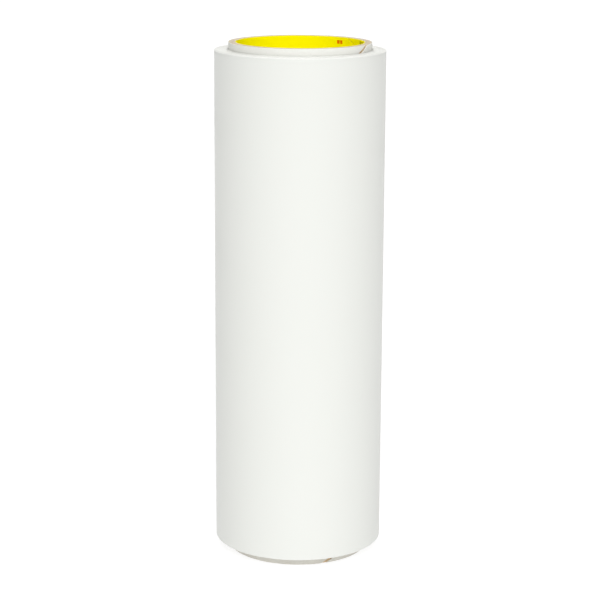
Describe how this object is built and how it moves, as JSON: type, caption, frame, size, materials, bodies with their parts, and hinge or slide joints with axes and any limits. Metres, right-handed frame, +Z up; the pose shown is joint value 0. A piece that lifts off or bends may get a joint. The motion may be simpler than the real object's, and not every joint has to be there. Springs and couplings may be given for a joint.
{
  "type": "roll of sign vinyl",
  "caption": "Roll of white self-adhesive sign film with its release liner, wound on a spiral paper core that stands out at both ends; its taped tail lifts and peels.",
  "frame": {"origin": "on the core's axis, at the level of the core's lower rim, which the roll stands on", "axes": "+Z up along the core's axis; -Y is the plain front, +Y the back, where the tail lies"},
  "size_m": [0.1031, 0.1036, 0.3158],
  "materials": {
    "yellow_paper": "matt coloured paper, smooth",
    "core_board": "unbleached core board, matt, with fibres and cut edges",
    "white_paper": "matt white paper",
    "liner_paper": "coated release paper, soft sheen",
    "vinyl": "white satin film",
    "clear_tape": "translucent matt tape"
  },
  "bodies": {
    "roll": {"core_inner_ply": "yellow_paper", "core_board_ply_1": "core_board", "core_board_ply_2": "core_board", "core_board_ply_3": "core_board", "core_board_ply_4": "core_board", "core_board_ply_5": "core_board", "core_board_ply_6": "core_board", "core_board_ply_7": "core_board", "core_outer_ply": "white_paper", "start_tape": "clear_tape", "release_liner": "liner_paper", "wound_film": "vinyl", "outer_film": "vinyl"},
    "tail": {"tail_liner": "liner_paper", "tail_film": "vinyl"},
    "film_tip": {"film_end": "vinyl", "closing_tape": "clear_tape"}
  },
  "joints": [
    {"name": "tail_lift", "type": "hinge", "parent": "roll", "child": "tail", "pos_m": [0.02415, 0.04586, 0], "axis": [0, 0, -1], "range_deg": [0, 70], "stiffness_Nm_per_rad": 0.008},
    {"name": "film_peel", "type": "hinge", "parent": "tail", "child": "film_tip", "pos_m": [-0.00924, 0.05117, 0], "axis": [0, 0, -1], "range_deg": [0, 75], "stiffness_Nm_per_rad": 0.003}
  ]
}
